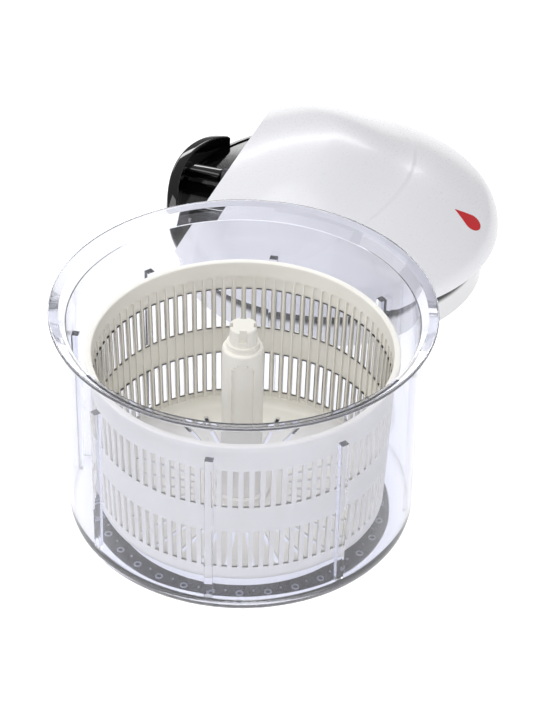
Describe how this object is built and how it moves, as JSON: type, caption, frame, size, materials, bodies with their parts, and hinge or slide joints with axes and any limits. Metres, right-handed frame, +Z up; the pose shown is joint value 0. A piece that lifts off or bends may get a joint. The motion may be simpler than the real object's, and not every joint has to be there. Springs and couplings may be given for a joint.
{
  "type": "salad spinner",
  "caption": "Pull-cord salad spinner with a clear bowl, slotted white basket on a centre post, and a domed white lid with a black pull handle, lid off.",
  "frame": {"origin": "Centre of the bowl's underside, on the surface it stands on.", "axes": "+Z is up, along the bowl's own axis. +X is to the right and +Y is to the back, where the lid lies."},
  "size_m": [0.3235, 0.5636, 0.1688],
  "materials": {
    "clear_plastic": "clear, glossy",
    "soft_grey": "matt",
    "steel": "plain",
    "white_basket": "satin",
    "white_gloss": "glossy",
    "black_gloss": "glossy",
    "natural_acetal": "satin",
    "grey_plastic": "satin",
    "cord_fibre": "braided",
    "red_badge": "glossy"
  },
  "bodies": {
    "bowl": {"bowl": "clear_plastic", "non_slip_ring": "soft_grey", "pivot_pin": "steel"},
    "pivot": {"pivot_bearing": "natural_acetal"},
    "basket": {"basket": "white_basket", "basket_post": "white_basket", "drive_dog": "white_basket"},
    "lid": {"lid_base": "black_gloss", "lid_shell": "white_gloss", "handle_dock": "black_gloss", "cord_eyelet": "grey_plastic", "badge": "red_badge", "hub_bush": "natural_acetal", "gear_cover": "grey_plastic", "spring_cup": "grey_plastic", "reel_spring": "steel", "reel_axle": "steel", "lid_screws": "steel", "cover_screws": "steel"},
    "handle": {"handle_grip": "black_gloss", "handle_plug": "black_gloss", "cord_knot": "cord_fibre", "pull_cord": "cord_fibre"},
    "reel": {"cord_reel": "natural_acetal", "cord_winding": "cord_fibre", "reel_gear": "natural_acetal"},
    "pinion": {"pinion": "natural_acetal", "clutch_spring": "steel"},
    "hub": {"drive_hub": "grey_plastic", "clutch_sleeve": "steel"}
  },
  "joints": [
    {"name": "basket_spin", "type": "hinge", "parent": "bowl", "child": "pivot", "pos_m": [0, 0, 0.015], "axis": [0, 0, 1], "continuous": true},
    {"name": "basket_lift", "type": "slide", "parent": "pivot", "child": "basket", "axis": [0, 0, 1], "range_m": [0, 0.25]},
    {"name": "lid_lift", "type": "slide", "parent": "bowl", "child": "lid", "axis": [0, 0, 1], "range_m": [0, 0.25]},
    {"name": "handle_pull", "type": "slide", "parent": "lid", "child": "handle", "axis": [-0.9397, 0.342, 0], "range_m": [0, 0.35], "stiffness_N_per_m": 8, "springref_m": -0.4},
    {"name": "reel_spin", "type": "hinge", "parent": "lid", "child": "reel", "pos_m": [0.0237, 0.30512, 0.04], "axis": [0, 0, 1], "range_deg": [0, 1337.9]},
    {"name": "pinion_spin", "type": "hinge", "parent": "lid", "child": "pinion", "pos_m": [0.0657, 0.3058, 0.04], "axis": [0, 0, 1], "range_deg": [-2675.8, 0]},
    {"name": "hub_coast", "type": "hinge", "parent": "pinion", "child": "hub", "pos_m": [0.0657, 0.3058, 0.04], "axis": [0, 0, 1], "continuous": true}
  ],
  "couplings": [
    {"joint": "reel_spin", "follows": "handle_pull", "rad_per_m": 66.667},
    {"joint": "pinion_spin", "follows": "handle_pull", "rad_per_m": -133.33}
  ]
}
